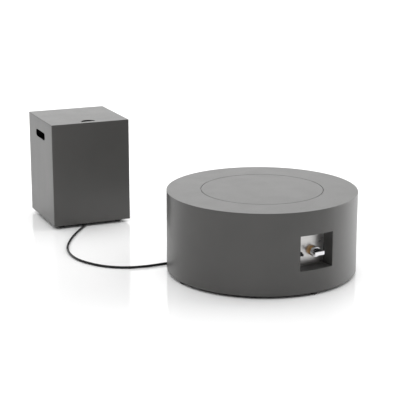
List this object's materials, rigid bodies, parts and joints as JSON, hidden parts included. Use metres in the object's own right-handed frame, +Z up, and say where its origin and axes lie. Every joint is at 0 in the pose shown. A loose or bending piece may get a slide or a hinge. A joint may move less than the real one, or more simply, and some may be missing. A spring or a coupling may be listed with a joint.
{
  "type": "gas fire pit table",
  "caption": "Round sheet-steel gas fire pit table with a lift-off lid, a recessed knob and igniter, and a hose to a gas cylinder under a square lift-off cover.",
  "frame": {"origin": "on the ground at the centre of the round table", "axes": "+Z up; -Y out of the control window; +X to the right of someone who faces the window; the gas cylinder stands behind the table, on the +Y side"},
  "size_m": [1.2765, 2.2102, 0.6257],
  "materials": {
    "charcoal_coat": "fine matt powder coat",
    "stainless": "brushed",
    "zinc_steel": "zinc plated",
    "chrome": "polished",
    "brass": "machined",
    "black_rubber": "smooth extruded",
    "black_plastic": "fine grain",
    "lava": "rough, porous",
    "white_ceramic": "unglazed",
    "cylinder_paint": "semi-gloss",
    "alloy": "die cast",
    "copper": "drawn tube",
    "wire_sleeve": "silicone sleeve"
  },
  "bodies": {
    "root": {"drum_wall": "charcoal_coat", "base_ring": "charcoal_coat", "table_feet": "black_rubber", "table_foot_nuts": "zinc_steel", "table_top": "charcoal_coat", "lid_shelf": "charcoal_coat", "burner_pan": "stainless", "burner": "stainless", "burner_nipple": "stainless", "burner_locknut": "zinc_steel", "air_mixer": "brass", "gas_jet": "brass", "lava_stones": "lava", "heat_shield": "zinc_steel", "shield_studs": "zinc_steel", "shield_nuts": "zinc_steel", "ignition_bracket": "stainless", "electrode_ceramic": "white_ceramic", "electrode_rod": "stainless", "flame_probe": "stainless", "ignition_wire": "wire_sleeve", "probe_lead": "copper", "control_pocket": "charcoal_coat", "control_panel": "stainless", "panel_nuts": "zinc_steel", "valve_body": "brass", "valve_collar": "brass", "valve_spring": "zinc_steel", "igniter_body": "black_plastic", "igniter_nut": "black_plastic", "supply_pipe": "copper", "pipe_nuts": "brass", "swivel_nut": "brass", "hose_tail": "brass", "hose_ferrules": "zinc_steel", "gas_hose": "black_rubber", "cylinder_body": "cylinder_paint", "cylinder_foot_ring": "cylinder_paint", "valve_guard": "cylinder_paint", "cylinder_valve": "brass", "regulator_body": "alloy", "regulator_cap": "black_plastic", "coupling_nut": "brass"},
    "lid": {"lid": "charcoal_coat", "lid_hoop": "charcoal_coat", "lid_pads": "black_rubber"},
    "valve_plug": {"valve_plug": "brass"},
    "knob": {"control_knob": "chrome", "knob_screw": "zinc_steel", "valve_stem": "zinc_steel"},
    "igniter_button": {"igniter_button": "black_plastic"},
    "cover": {"cover_shell": "charcoal_coat", "cover_feet": "black_rubber", "cover_foot_nuts": "zinc_steel"},
    "cover_lid": {"cover_lid": "charcoal_coat", "cover_lid_frame": "charcoal_coat"},
    "handwheel": {"handwheel": "black_plastic", "handwheel_screw": "zinc_steel", "valve_spindle": "zinc_steel"}
  },
  "joints": [
    {"name": "lid_lift", "type": "slide", "parent": "root", "child": "lid", "axis": [0, 0, 1], "range_m": [0, 0.25]},
    {"name": "knob_turn", "type": "hinge", "parent": "root", "child": "valve_plug", "pos_m": [0.027, -0.415, 0.207], "axis": [0, -1, 0], "range_deg": [0, 180]},
    {"name": "knob_push", "type": "slide", "parent": "valve_plug", "child": "knob", "axis": [0, 1, 0], "range_m": [0, 0.0035], "stiffness_N_per_m": 3000, "springref_m": -0.001, "deforming": ["valve_spring"]},
    {"name": "igniter_push", "type": "slide", "parent": "root", "child": "igniter_button", "axis": [0, 1, 0], "range_m": [0, 0.005], "stiffness_N_per_m": 2500, "springref_m": -0.0005},
    {"name": "cover_lift", "type": "slide", "parent": "root", "child": "cover", "axis": [0, 0, 1], "range_m": [0, 0.6]},
    {"name": "cover_lid_lift", "type": "slide", "parent": "cover", "child": "cover_lid", "axis": [0, 0, 1], "range_m": [0, 0.15]},
    {"name": "handwheel_turn", "type": "hinge", "parent": "root", "child": "handwheel", "pos_m": [-0.357, 1.444, 0.4255], "axis": [0, 0, 1], "range_deg": [0, 900]}
  ]
}
